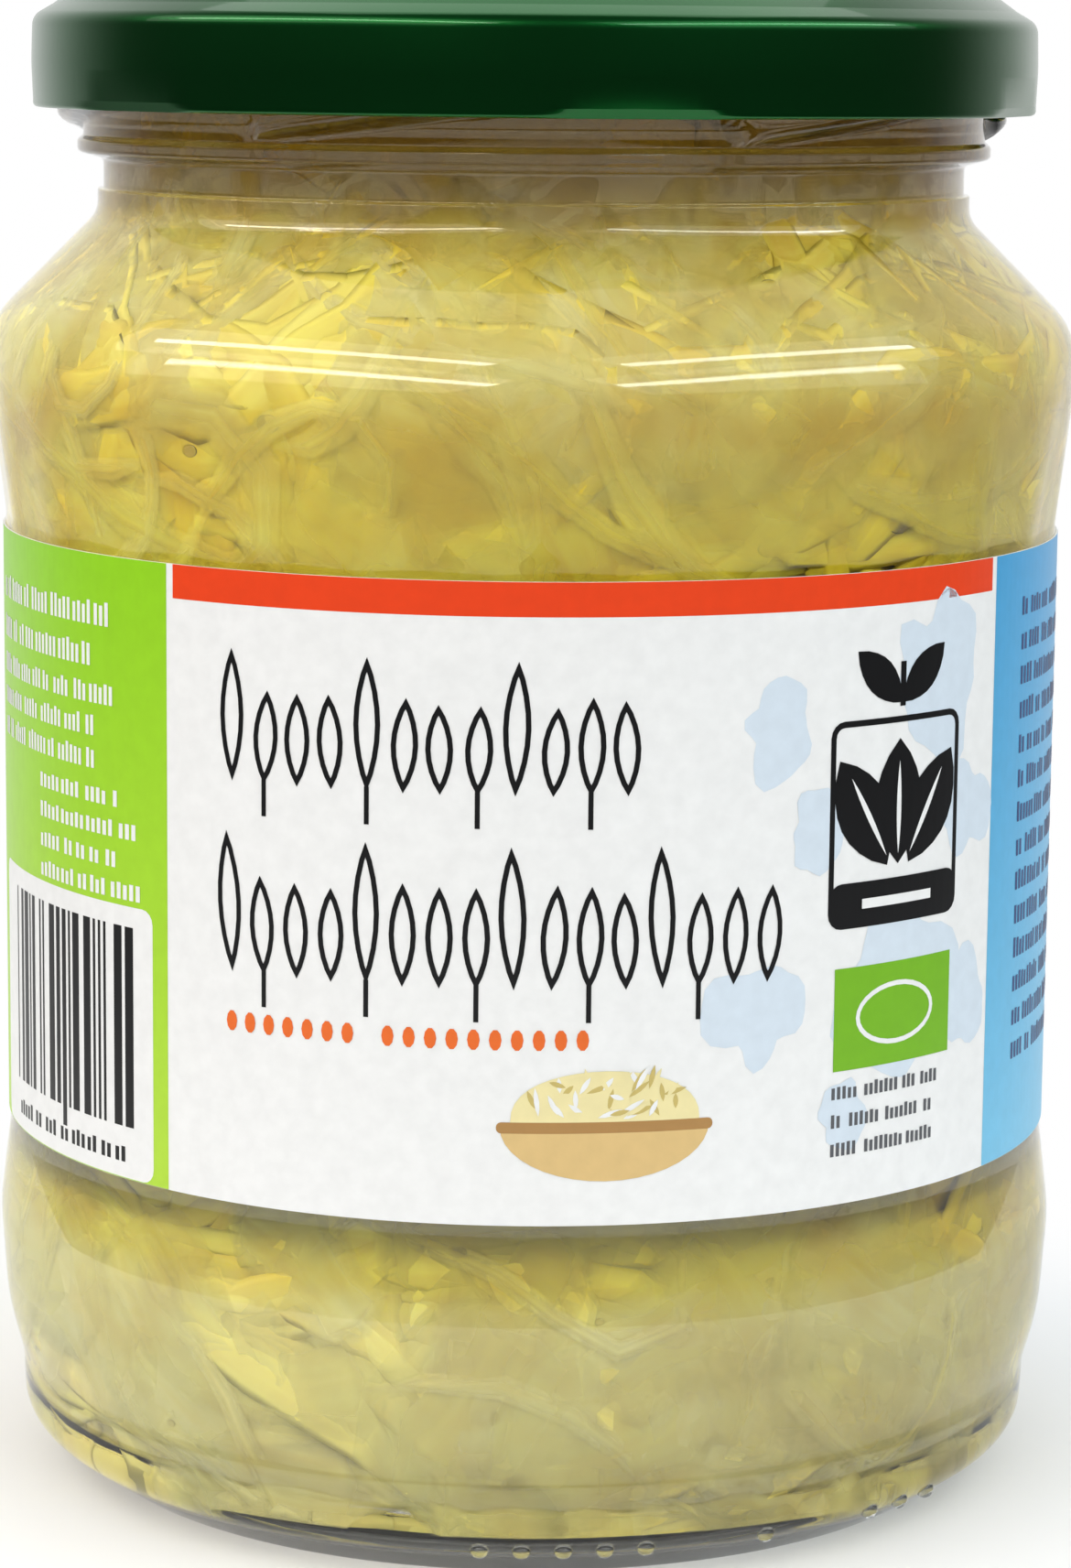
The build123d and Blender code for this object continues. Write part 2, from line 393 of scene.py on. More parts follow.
# %% Sizes and outline of the lid
SHEET, LID_R, LID_LOW, SKIRT_Z, LID_BULGE = 0.35, 42.8, 117.7, 125.3, 0.12
LID_TOP_R, CREASE_R, CREASE_DROP = 39.2, 41.0, 1.3
DISH_R, DISH_DEPTH, BUTTON_R, BUTTON_RISE, CURL_R = 34.8, 1.3, 14.0, 0.7, 0.75
DENT_SPAN, DENT_HIGH, LUG_SPAN, LUG_TIP_R, LUG_THICK = 22.0, 1.5, 15.0, 39.6, 1.1
LID_Z = RIM_Z + SHEET
lid_top_line = [
    (0, LID_Z - DISH_DEPTH + BUTTON_RISE, 0),
    (BUTTON_R - 2.5, LID_Z - DISH_DEPTH + BUTTON_RISE, 4),
    (BUTTON_R, LID_Z - DISH_DEPTH, 4),
    (DISH_R, LID_Z - DISH_DEPTH, 0.5),
    (DISH_R + 0.8, LID_Z, 0.5),
    (LID_TOP_R, LID_Z, 1.2),
    (CREASE_R, LID_Z - CREASE_DROP, 0.6),
    (LID_R, SKIRT_Z, 1.4),
    (LID_R + LID_BULGE, (SKIRT_Z + LID_LOW) / 2, 20),
]
curl_line = [
    (LID_R, LID_LOW + CURL_R, 0.6),
    (LID_R, LID_LOW, 0.72),
    (LID_R - 2 * CURL_R, LID_LOW, 0.72),
    (LID_R - 2 * CURL_R, LID_LOW + 2 * CURL_R, 0.72),
    (LID_R - SHEET, LID_LOW + 2 * CURL_R, 0.3),
]
lid_under_line = [
    (LID_R - SHEET, SKIRT_Z - 0.2, 1.0),
    (CREASE_R - 0.1, LID_Z - CREASE_DROP - SHEET, 0.4),
    (LID_TOP_R - 0.1, LID_Z - SHEET, 0.9),
    (DISH_R + 0.5, LID_Z - SHEET, 0.3),
    (DISH_R - 0.3, LID_Z - DISH_DEPTH - SHEET, 0.7),
    (BUTTON_R, LID_Z - DISH_DEPTH - SHEET, 4),
    (BUTTON_R - 2.5, LID_Z - DISH_DEPTH + BUTTON_RISE - SHEET, 4),
    (0, LID_Z - DISH_DEPTH + BUTTON_RISE - SHEET, 0),
]
lid_outline = rounded(lid_top_line + curl_line + lid_under_line)
print("points on the lid outline:", len(lid_outline))

# %% Lacquer
lid_paint, tree, shader, _, place = new_material("green_lacquer")
mottle = add_noise(tree, place, 900, 2.0)
cloud = add_noise(tree, place, 30, 2.0)
base = add_mix(tree, cloud, paint(6, 68, 24), paint(10, 94, 36))
tree.links.new(base, shader.inputs["Base Color"])
shader.inputs["Metallic"].default_value = 0.92
shader.inputs["Roughness"].default_value = 0.3
shader.inputs["Coat Weight"].default_value = 0.4
shader.inputs["Coat Roughness"].default_value = 0.05
add_bump(tree, shader, mottle, 0.1, 0.00005)

# %% Spin the lid, dent its edge and add the lugs
dent_depth = LID_R * (1 - math.cos(math.radians(DENT_SPAN / 2)))
bm = spin_outline(lid_outline, 240, start=LUG_ANGLE)
for vert in bm.verts:
    radius = math.hypot(vert.co.x, vert.co.y)
    z = vert.co.z
    if radius < LID_R - 0.8 or z > LID_LOW + 4:
        continue
    off = (angle_of(vert.co) - LUG_ANGLE + 30) % 60 - 30
    limit = LID_R - dent_depth * (1 - (z - LID_LOW) / DENT_HIGH)
    limit /= math.cos(math.radians(off))
    if radius > limit:
        vert.co.x *= limit / radius
        vert.co.y *= limit / radius
for index in range(LUGS):
    first = LUG_ANGLE - LUG_SPAN / 2 + index * 360 / LUGS
    lug = [
        (LID_R - CURL_R, LID_LOW + 0.05, 0),
        (LUG_TIP_R + 0.5, LID_LOW + 0.05, 0),
        (LUG_TIP_R, LID_LOW + LUG_THICK / 2, 0),
        (LUG_TIP_R + 0.5, LID_LOW + LUG_THICK, 0),
        (LID_R - CURL_R, LID_LOW + LUG_THICK, 0),
    ]
    part = spin_outline([p[:2] for p in lug], 10, start=first, angle=LUG_SPAN, closed=True)
    bmesh.ops.holes_fill(part, edges=part.edges, sides=0)
    mesh = bpy.data.meshes.new("lug")
    part.to_mesh(mesh)
    part.free()
    bm.from_mesh(mesh)
    bpy.data.meshes.remove(mesh)
lid = finish_piece(bm, "lid_shell", [lid_paint])
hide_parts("lid")

# %% [markdown]
# ## The paper label
# The label is one strip of coated paper glued round the sunk panel, with a bare gap at the back.
# The sleeve is a spun rectangle. Its print is a set of thin stamps: each is drawn flat, in
# millimetres along the paper and up the jar, sliced every millimetre, and then wrapped onto the
# curve.

# %% Paper and ink finishes
LABEL_R, LABEL_LOW, LABEL_HIGH, LABEL_THICK, LABEL_GAP = 45.5, 31.2, 82.4, 0.15, 20.0
PRINT_R = LABEL_R + LABEL_THICK


def ink(name, low, high=None, rough=0.38):
    """Printed coated paper: two close tones that change with height, and a fine paper grain."""
    material, tree, shader, out, place = new_material(name)
    fibre = add_noise(tree, place, 700, 4.0)
    tone = paint(*low)
    if high:
        split = tree.nodes.new("ShaderNodeSeparateXYZ")
        tree.links.new(place, split.inputs[0])
        span = tree.nodes.new("ShaderNodeMapRange")
        span.inputs["From Min"].default_value = LABEL_LOW * MM
        span.inputs["From Max"].default_value = LABEL_HIGH * MM
        tree.links.new(split.outputs["Z"], span.inputs["Value"])
        tone = add_mix(tree, span.outputs[0], paint(*low), paint(*high))
    grain = add_ramp(tree, fibre, [(0.3, (0.94, 0.94, 0.94, 1)), (0.7, (1, 1, 1, 1))])
    tree.links.new(add_mix(tree, 1.0, tone, grain, "MULTIPLY"), shader.inputs["Base Color"])
    shader.inputs["Roughness"].default_value = rough
    shader.inputs["Specular IOR Level"].default_value = 0.4
    add_bump(tree, shader, fibre, 0.08, 0.00005)
    return material


INKS = {
    "paper": ink("label_paper", (240, 241, 240)),
    "stripe": ink("ink_red_orange", (236, 66, 14)),
    "green": ink("ink_leaf_green", (180, 222, 60), (146, 212, 22)),
    "blue": ink("ink_sky_blue", (116, 196, 232), (62, 160, 214)),
    "haze": ink("ink_pale_blue", (214, 227, 238)),
    "black": ink("ink_black", (18, 18, 20)),
    "orange": ink("ink_orange", (236, 110, 40)),
    "navy": ink("ink_navy", (24, 60, 120)),
    "grey": ink("ink_grey", (90, 92, 96)),
    "badge": ink("ink_badge_green", (120, 184, 30)),
    "wood": ink("ink_wood", (222, 190, 128)),
    "wood_dark": ink("ink_wood_shade", (176, 134, 78)),
    "heap": ink("ink_heap", (240, 228, 170)),
    "heap_dark": ink("ink_heap_shade", (204, 184, 110)),
}
INK_ORDER = list(INKS)
print("inks:", len(INKS))

# %% Spin the sleeve
sleeve = [
    (LABEL_R, LABEL_LOW),
    (PRINT_R, LABEL_LOW),
    (PRINT_R, LABEL_HIGH),
    (LABEL_R, LABEL_HIGH),
]
bm = spin_outline(sleeve, 340, -180 + LABEL_GAP / 2, 360 - LABEL_GAP, closed=True)
bmesh.ops.holes_fill(bm, edges=bm.edges, sides=0)
sleeve_piece = finish_piece(bm, "label_paper_sleeve", [INKS["paper"]], smooth=False)
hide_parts("label")


# %% Stamps for the print
LAYER = 0.012
sheets = {}


def stamp(points, layer, colour, rim=0.0):
    """Notes a flat shape of (u, z) points. With a rim, only a line along its edge is inked."""
    sheets.setdefault((layer, colour, rim), []).append(points)


def wrap_sheet(shapes, layer, colour, rim):
    """Draws one ink's shapes flat, slices them every millimetre, and wraps them onto the label."""
    bm = bmesh.new()
    for points in shapes:
        bm.faces.new([bm.verts.new((u, z, 0)) for u, z in points])
    bm.normal_update()
    if rim:
        middles = bm.faces[:]
        bmesh.ops.inset_individual(bm, faces=middles, thickness=rim, use_even_offset=True)
        bmesh.ops.delete(bm, geom=middles, context="FACES_ONLY")
    along = [vert.co.x for vert in bm.verts]
    for cut in range(math.floor(min(along)) + 1, math.ceil(max(along))):
        geom = bm.verts[:] + bm.edges[:] + bm.faces[:]
        bmesh.ops.bisect_plane(bm, geom=geom, plane_co=(cut, 0, 0), plane_no=(1, 0, 0), dist=1e-5)
    radius = PRINT_R + LAYER * layer
    for vert in bm.verts:
        out = heading(math.degrees(vert.co.x / PRINT_R))
        vert.co = (out.x * radius, out.y * radius, vert.co.y)
    for face in bm.faces:
        face.material_index = INK_ORDER.index(colour)
        face.normal_update()
        centre = face.calc_center_median()
        if face.normal.x * centre.x + face.normal.y * centre.y < 0:
            face.normal_flip()
    return bm


def block(u0, z0, u1, z1):
    """A rectangle from its corners."""
    return [(u0, z0), (u1, z0), (u1, z1), (u0, z1)]


def soft_block(u0, z0, u1, z1, r):
    """A rectangle with rounded corners."""
    points = []
    middles = ((u1 - r, z0 + r), (u1 - r, z1 - r), (u0 + r, z1 - r), (u0 + r, z0 + r))
    for (cu, cz), first in zip(middles, (-90, 0, 90, 180)):
        for step in range(5):
            turn = math.radians(first + step * 22.5)
            points.append((cu + r * math.cos(turn), cz + r * math.sin(turn)))
    return points


def oval(u, z, wide, high, count=28):
    """An ellipse about its middle."""
    turns = [2 * math.pi * k / count for k in range(count)]
    return [(u + wide * math.cos(t), z + high * math.sin(t)) for t in turns]


def leaf(u, z, wide, high, lean=0.0, count=8):
    """A pointed leaf that grows up from its foot and leans by an angle in degrees."""
    side = []
    for k in range(count + 1):
        side.append((wide / 2 * math.sin(math.pi * k / count) ** 0.8, high * k / count))
    points = side + [(-a, b) for a, b in side[-2:0:-1]]
    turn = math.radians(lean)
    return [
        (u + a * math.cos(turn) + b * math.sin(turn), z - a * math.sin(turn) + b * math.cos(turn))
        for a, b in points
    ]


def blob(u, z, size, seed):
    """An irregular patch."""
    points = []
    for step in range(30):
        turn = 2 * math.pi * step / 30
        spot = Vector((math.cos(turn) * 1.4, math.sin(turn) * 1.4, seed * 3.1))
        reach = size * (1 + 0.6 * noise.noise(spot))
        points.append((u + reach * math.cos(turn), z + reach * 1.15 * math.sin(turn)))
    return points


def text_lines(u0, u1, z_top, lines, pitch, high, colour, seed, thin=0.6):
    """Rows of small dashes in word lengths, where small print stands."""
    draw = random.Random(seed)
    for line in range(lines):
        z = z_top - line * pitch
        u = u0
        end = u1 - draw.uniform(0, 0.25) * (u1 - u0)
        while u < end:
            word = min(draw.uniform(1.2, 4.2), end - u)
            if word > 0.5:
                step = 0.0
                while step < word - 0.3:
                    tall = high * draw.uniform(0.75, 1.0)
                    stamp(block(u + step, z, u + step + thin * 0.62, z + tall), 3, colour)
                    step += thin
            u += word + 0.55


# %% Fields of colour
LEFT_EDGE, RIGHT_EDGE = -134.5, 134.5
stamp(block(LEFT_EDGE, LABEL_LOW + 0.02, -31.3, LABEL_HIGH - 0.02), 1, "green")
stamp(block(45.1, LABEL_LOW + 0.02, RIGHT_EDGE, LABEL_HIGH - 0.02), 1, "blue")
stamp(block(-30.6, 79.66, 44.4, LABEL_HIGH - 0.02), 1, "stripe")
stamp(soft_block(-62.0, 31.3, -33.0, 54.0, 1.2), 2, "paper")
patches = [
    (37.0, 74.0, 5.5),
    (20.5, 70.5, 3.2),
    (41.0, 62.0, 3.4),
    (19.0, 47.5, 4.0),
    (33.0, 49.0, 6.5),
    (41.5, 46.0, 3.0),
    (24.0, 62.0, 2.6),
    (27.0, 38.5, 2.2),
]
for index, (u, z, size) in enumerate(patches):
    stamp(blob(u, z, size, index + 1), 1 + 0.15 * index, "haze")

# %% Tall leaves in place of the name
draw = random.Random(11)
for row_low, row_high, first, last in ((65.6, 76.2, -24.6, 8.2), (50.2, 61.6, -24.6, 20.6)):
    u = first
    count = 0
    while u < last:
        tall = (row_high - row_low) * (1.0 if count % 4 == 0 else draw.uniform(0.66, 0.74))
        stamp(leaf(u, row_low, 2.2, tall, draw.uniform(-3, 3)), 3, "black", 0.42)
        if count % 3 == 1:
            stamp(block(u - 0.2, row_low - 2.6, u + 0.2, row_low + 0.4), 3, "black")
        u += 2.95
        count += 1

# %% Small print, badge, frame and sprout
u = -25.2
for group in (7, 10):
    for letter in range(group):
        stamp(oval(u + 0.55, 46.2, 0.5, 0.85, 10), 3, "orange", 0.0)
        u += 1.72
    u += 1.6
stamp(soft_block(25.2, 53.8, 39.7, 70.6, 1.3), 3, "black", 0.5)
stamp(soft_block(25.3, 53.9, 39.6, 57.5, 1.2), 3.2, "black")
for side in (-1, 0, 1):
    stamp(leaf(32.4 + side * 1.2, 58.6, 5.2, 10.2, side * 30), 3.2 + 0.2 * abs(side), "black")
    stamp(leaf(32.4 + side * 1.3, 59.4, 0.5, 7.6, side * 30), 4, "paper")
stamp(block(28.6, 55.3, 36.4, 56.1), 4, "paper")
for side in (-1, 1):
    stamp(leaf(32.6, 71.7, 3.0, 6.6, side * 48), 3, "black")
stamp(block(32.3, 71.4, 32.9, 75.0), 3.2, "black")
stamp(block(26.0, 42.2, 39.2, 50.6), 3, "badge")
stamp(oval(32.6, 46.4, 4.4, 2.6), 4, "paper", 0.4)
text_lines(25.9, 38.5, 39.9, 3, 2.35, 1.15, "grey", 3, 0.55)

# %% The bowl of shreds
draw = random.Random(5)
BOWL_U, BOWL_Z = 6.4, 39.2
half_turn = [math.pi * k / 20 for k in range(21)]
bowl = [(BOWL_U - 8.4 * math.cos(t), BOWL_Z - 4.4 * math.sin(t)) for t in half_turn]
stamp(bowl, 3, "wood")
stamp(soft_block(-2.3, 38.7, 15.1, 39.6, 0.4), 3.4, "wood_dark")
mound = [(BOWL_U + 7.6 * math.cos(t), BOWL_Z + 0.3 + 4.2 * math.sin(t) ** 0.8) for t in half_turn]
stamp(mound, 3.2, "heap")
for index in range(44):
    turn = draw.uniform(0.12, 3.0)
    far = draw.uniform(0.0, 0.86)
    u = BOWL_U + 7.4 * far * math.cos(turn)
    z = BOWL_Z + 0.5 + 3.7 * far * math.sin(turn)
    tone = ("heap_dark", "paper", "heap")[index % 3]
    shred = leaf(u, z, 0.42, draw.uniform(1.2, 2.4), draw.uniform(-80, 80), 4)
    stamp(shred, 3.6 + 0.05 * index, tone)

# %% Stripes and small print on the side panels
draw = random.Random(21)
u = -57.2
while u < -34.4:
    bar = draw.choice((0.35, 0.35, 0.7, 1.05))
    low = 33.9 if draw.random() < 0.12 else 35.6
    stamp(block(u, low, u + bar, 52.3), 3, "black")
    u += bar + draw.choice((0.4, 0.4, 0.75, 1.1))
text_lines(-56.5, -35.0, 32.6, 1, 2.0, 1.4, "black", 8, 0.8)
text_lines(-62.0, -37.0, 76.6, 2, 3.4, 2.0, "paper", 4, 0.75)
text_lines(-62.0, -33.5, 70.2, 3, 2.7, 1.7, "paper", 5, 0.7)
text_lines(-50.0, -34.0, 62.0, 4, 2.5, 1.4, "paper", 6, 0.8)
text_lines(50.5, 74.0, 77.0, 14, 2.9, 1.7, "navy", 7, 0.75)
text_lines(-100.0, -70.0, 77.0, 12, 3.2, 1.6, "paper", 9, 0.8)
text_lines(84.0, 112.0, 77.0, 12, 3.2, 1.6, "navy", 10, 0.8)
print_bm = bmesh.new()
for (layer, colour, rim), shapes in sheets.items():
    sheet = wrap_sheet(shapes, layer, colour, rim)
    mesh = bpy.data.meshes.new("sheet")
    sheet.to_mesh(mesh)
    sheet.free()
    print_bm.from_mesh(mesh)
    bpy.data.meshes.remove(mesh)
print_paints = [INKS[name] for name in INK_ORDER]
finish_piece(print_bm, "label_print", print_paints, smooth=False, recalc=False)

# %% [markdown]
# ## Brine and cabbage
# Cabbage that is packed wet has no air between it and the glass: brine fills every gap. The brine
# reaches a little into the wall, so that no thin film of air shows, and bends light as water does.
# Behind the glass lie hundreds of shreds and pieces of leaf, over a rough golden core.

# %% Brine
inner = rounded(hollow)
inner_r = np.array([p[0] for p in inner])[::-1]
inner_z = np.array([p[1] for p in inner])[::-1]
brine_line = [(0, FILL_Z), (INNER_MOUTH_R + 0.12, FILL_Z)]
brine_line += [(r + 0.12, z) for r, z in inner if FLOOR_Z + 1.5 < z < FILL_Z - 0.5]
brine_line += [(r, z - 0.12) for r, z in inner if z <= FLOOR_Z + 1.5]
bm = spin_outline(brine_line, 156)
finish_piece(bm, "brine", [brine_paint])


def wall_r(z):
    """The hollow's radius at a height."""
    side = inner_z > FLOOR_Z + 1.2
    return np.interp(z, inner_z[side], inner_r[side])


# %% Cabbage finishes
# Heights, as shares of 128 mm, and how far the cabbage there is mixed towards pale yellow.
PALE_AND_PAINTED_LIGHT_BANDS = [(0.0, 0.2), (0.06, 0.42), (0.172, 0.42), (0.195, 0.15), (0.245, 0.15)]
PALE_AND_PAINTED_LIGHT_BANDS += [(0.735, 0), (0.77, 0.16), (0.82, 0.14), (0.86, 0)]


def cabbage(name, pale, mid, deep, solid):
    """Soft wet leaf: each piece has its own tone and faint veins, and its edges are see-through."""
    material, tree, shader, out, place = new_material(name)
    tone = tree.nodes.new("ShaderNodeAttribute")
    tone.attribute_name = "tone"
    own = add_ramp(tree, tone.outputs["Fac"], [(0.0, deep), (0.5, mid), (1.0, pale)])
    lie = tree.nodes.new("ShaderNodeAttribute")
    lie.attribute_name = "lie"
    veins = add_noise(tree, lie.outputs["Vector"], 1.0, 2.0, (0.10, 1.1, 1.0), 0.6)
    vein_tone = add_ramp(tree, veins, [(0.34, paint(246, 236, 196)), (0.62, (1, 1, 1, 1))])
    colour = add_mix(tree, 0.8, own, vein_tone, "MULTIPLY")
    cloud = add_noise(tree, place, 110, 2.0, (1, 1, 1.3), 0.6)
    patch = add_ramp(tree, cloud, [(0.36, paint(236, 219, 140)), (0.58, (1, 1, 1, 1))])
    colour = add_mix(tree, 0.8, colour, patch, "MULTIPLY")
    split = tree.nodes.new("ShaderNodeSeparateXYZ")
    tree.links.new(place, split.inputs[0])
    height = tree.nodes.new("ShaderNodeMapRange")
    height.inputs["From Max"].default_value = 0.128
    tree.links.new(split.outputs["Z"], height.inputs["Value"])
    gold = paint(252, 247, 166)
    # Tone by height: golden behind the label, less golden above the shoulder, and darker and
    # browner in the neck. The neck's darkening is partly browner cabbage and partly painted shade
    # from the lid.
    layers = add_ramp(
        tree,
        height.outputs[0],
        [
            (0.0, paint(240, 232, 190)),
            (0.06, (1, 1, 1, 1)),
            (0.175, (1, 1, 1, 1)),
            (0.195, gold),
            (0.67, gold),
            (0.735, paint(236, 224, 170)),
            (0.765, paint(230, 227, 214)),
            (0.83, paint(228, 222, 206)),
            (0.90, paint(196, 158, 70)),
        ],
    )
    colour = add_mix(tree, 1.0, colour, layers, "MULTIPLY")
    stops = [(at, (much, much, much, 1)) for at, much in PALE_AND_PAINTED_LIGHT_BANDS]
    # Paler bands by height: partly pieces pressed flat on the glass, and partly painted light on
    # the lower band and on the strip that lies in the label's shadow.
    pressed_pale_and_painted_light = add_ramp(tree, height.outputs[0], stops)
    colour = add_mix(tree, pressed_pale_and_painted_light, colour, paint(255, 254, 192))
    # Painted shade: the cabbage is darker and more golden towards +X, which is the right as seen
    # from the front, where less light falls.
    side = tree.nodes.new("ShaderNodeMapRange")
    side.inputs["From Min"].default_value = -0.04
    side.inputs["From Max"].default_value = 0.04
    tree.links.new(split.outputs["X"], side.inputs["Value"])
    across = [(0.0, (1, 1, 1, 1)), (0.5, paint(238, 234, 220)), (1.0, paint(222, 212, 178))]
    sides = add_ramp(tree, side.outputs[0], across)
    colour = add_mix(tree, 1.0, colour, sides, "MULTIPLY")
    tree.links.new(colour, shader.inputs["Base Color"])
    shader.inputs["Roughness"].default_value = 0.5
    shader.inputs["Specular IOR Level"].default_value = 0.12
    if not solid:
        fade = tree.nodes.new("ShaderNodeAttribute")
        fade.attribute_name = "fade"
        cover = tree.nodes.new("ShaderNodeMapRange")
        cover.inputs["From Max"].default_value = 1.0
        cover.inputs["To Min"].default_value = 0.0
        cover.inputs["To Max"].default_value = 0.5
        tree.links.new(fade.outputs["Fac"], cover.inputs["Value"])
        tree.links.new(cover.outputs[0], shader.inputs["Alpha"])
    return material


LEAF_TONES = paint(255, 254, 206), paint(250, 247, 150), paint(242, 232, 100)
SHRED_TONES = paint(255, 253, 152), paint(250, 242, 100), paint(238, 220, 60)
CORE_TONES = paint(244, 228, 84), paint(232, 212, 58), paint(210, 180, 36)
leaf_paint = cabbage("cabbage_leaf", *LEAF_TONES, solid=False)
shred_paint = cabbage("cabbage_shred", *SHRED_TONES, solid=True)
core_paint = cabbage("cabbage_core", *CORE_TONES, solid=True)
print("cabbage finishes made")

# %% Core
fine = split_long(inner, 0, RIM_Z, 1.2)
core_line = [(0, FILL_Z - 1.0)]
core_line += [(r - 1.5, z) for r, z in fine if FLOOR_Z + 1.3 < z < FILL_Z - 1.2]
core_line += [(r, z + 0.2) for r, z in fine if z <= FLOOR_Z + 1.2 and r < 38]
bm = spin_outline(core_line, 200)
for vert in bm.verts:
    radius = math.hypot(vert.co.x, vert.co.y)
    if radius < 1:
        continue
    push = noise.noise(vert.co * 0.14) * 1.3 + noise.noise(vert.co * 0.45) * 0.8
    limit = float(wall_r(vert.co.z)) - 0.7
    scale = min(limit, radius + push - 0.5) / radius
    vert.co.x *= scale
    vert.co.y *= scale
tones = bm.verts.layers.float.new("tone")
lies = bm.verts.layers.float_vector.new("lie")
for vert in bm.verts:
    vert[tones] = 0.5 + 0.9 * noise.noise(vert.co * 0.22)
    vert[lies] = vert.co * 0.6
core = finish_piece(bm, "cabbage_core", [core_paint])
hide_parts("sauerkraut")


# %% One plain shred and one plain leaf piece
def strip(rings, sides):
    """A closed strip along X, one unit long, with a round section of one unit's radius."""
    bm = bmesh.new()
    made = bmesh.ops.create_circle(bm, segments=sides, radius=1.0, cap_ends=True)
    for axis in "YX":
        quarter = Matrix.Rotation(math.pi / 2, 3, axis)
        bmesh.ops.rotate(bm, verts=made["verts"], cent=(0, 0, 0), matrix=quarter)
    end = bm.faces[:]
    for ring in range(rings):
        made = bmesh.ops.extrude_face_region(bm, geom=end)
        fresh = [g for g in made["geom"] if isinstance(g, bmesh.types.BMVert)]
        if ring:
            bmesh.ops.delete(bm, geom=end, context="FACES_ONLY")
        end = [g for g in made["geom"] if isinstance(g, bmesh.types.BMFace)]
        bmesh.ops.translate(bm, verts=fresh, vec=(1 / rings, 0, 0))
    bmesh.ops.recalc_face_normals(bm, faces=bm.faces)
    bm.verts.ensure_lookup_table()
    points = np.array([v.co[:] for v in bm.verts])
    faces = [[v.index for v in f.verts] for f in bm.faces]
    bm.free()
    return points, faces


shred_master = strip(8, 8)
leaf_master = strip(8, 10)
print("faces on a shred:", len(shred_master[1]), "and on a leaf piece:", len(leaf_master[1]))


# %% Lay shreds against the glass
def lay_pieces(
    name, master, count, seed, finish, lengths, widths, thick, depths, slopes, rolls, tones
):
    """Copies a plain strip many times along wandering lines that follow the glass.

    Lengths, widths, thicknesses and depths behind the glass are ranges in millimetres. Slopes and
    rolls are how much the pieces lean, in degrees, and turn about their own line, in radians.
    """
    points, faces = master
    rng = np.random.default_rng(seed)
    all_points, all_faces, all_tones, all_lies = [], [], [], []
    along = points[:, 0]
    across_by = points[:, 1]
    grid = np.linspace(0, 1, 25)
    for index in range(count):
        zone = ZONES[rng.choice(len(ZONES), p=[z[0] for z in ZONES])]
        length = rng.uniform(*lengths)
        angle = math.radians(rng.uniform(zone[3], zone[4]))
        z = rng.uniform(zone[1], zone[2])
        slope = math.radians(rng.normal(0, slopes))
        bend = rng.normal(0, 0.045, 3)
        depth = rng.uniform(*depths)
        waver = bend[1] * np.sin(grid * 5 + index) + bend[2] * np.cos(grid * 9 + index)
        course = slope + np.cumsum((bend[0] + waver) * length / 24)
        z_line = z + np.cumsum(np.sin(course)) * length / 24
        z_line = np.clip(z_line, FLOOR_Z + 0.8, FILL_Z - 1.4)
        swell = depth + 0.12 * np.sin(grid * rng.uniform(3, 8) + rng.uniform(0, 6))
        radii = wall_r(z_line) - np.maximum(swell, 0.1)
        angles = angle + np.cumsum(np.cos(course) * length / 24 / radii)
        line = np.stack([radii * np.sin(angles), -radii * np.cos(angles), z_line], 1)
        tangent = np.gradient(line, axis=0)
        tangent /= np.linalg.norm(tangent, axis=1)[:, None]
        out = np.stack([np.sin(angles), -np.cos(angles), 0 * angles], 1)
        across = np.cross(tangent, out)
        across /= np.linalg.norm(across, axis=1)[:, None]
        roll = rng.normal(0, rolls) + rng.normal(0, rolls) * grid
        wide_way = across * np.cos(roll)[:, None] + out * np.sin(roll)[:, None]
        thin_way = np.cross(tangent, wide_way)
        wide = rng.uniform(*widths) / 2
        taper = np.clip(np.minimum(grid, 1 - grid) * 7 + 0.25, 0, 1)
        ragged = 1 + 0.22 * np.sin(grid * rng.uniform(6, 15) + rng.uniform(0, 6))

        def at(values):
            if values.ndim == 1:
                return np.interp(along, grid, values)
            columns = [np.interp(along, grid, values[:, k]) for k in range(values.shape[1])]
            return np.stack(columns, 1)

        size = rng.uniform(*thick) / 2
        shape = at(line)
        shape = shape + at(wide_way) * (across_by * wide * at(taper * ragged))[:, None]
        shape = shape + at(thin_way) * (points[:, 2] * size * at(taper))[:, None]
        if wide > 3:
            ripple = 0.25 * np.sin(across_by * 4 + along * 7 + index)
            ripple += 0.2 * np.sin(along * 16 + index)
            shape = shape + at(out) * ripple[:, None]
        shape[:, 2] = np.clip(shape[:, 2], FLOOR_Z + 0.5, FILL_Z - 0.4)
        limit = wall_r(shape[:, 2]) - 0.05
        reach = np.hypot(shape[:, 0], shape[:, 1])
        shape[:, :2] *= np.minimum(1, limit / reach)[:, None]
        base = len(all_points) * len(points)
        all_faces += [[base + v for v in face] for face in faces]
        all_points.append(shape)
        all_tones.append(np.full(len(points), rng.uniform(*tones)))
        own = np.full(len(points), index * 3.7)
        all_lies.append(np.stack([along * length, across_by * wide, own], 1))
    mesh = bpy.data.meshes.new(name)
    mesh.from_pydata((np.concatenate(all_points) * MM).tolist(), [], all_faces)
    tone = mesh.attributes.new("tone", "FLOAT", "POINT")
    tone.data.foreach_set("value", np.concatenate(all_tones))
    lies = mesh.attributes.new("lie", "FLOAT_VECTOR", "POINT")
    lies.data.foreach_set("vector", np.concatenate(all_lies).ravel())
    rim = np.clip(1 - across_by**2, 0, 1) * np.clip(np.minimum(along, 1 - along) * 8, 0, 1)
    fade = mesh.attributes.new("fade", "FLOAT", "POINT")
    fade.data.foreach_set("value", np.tile(rim, count))
    return add_piece(mesh, name, [finish])


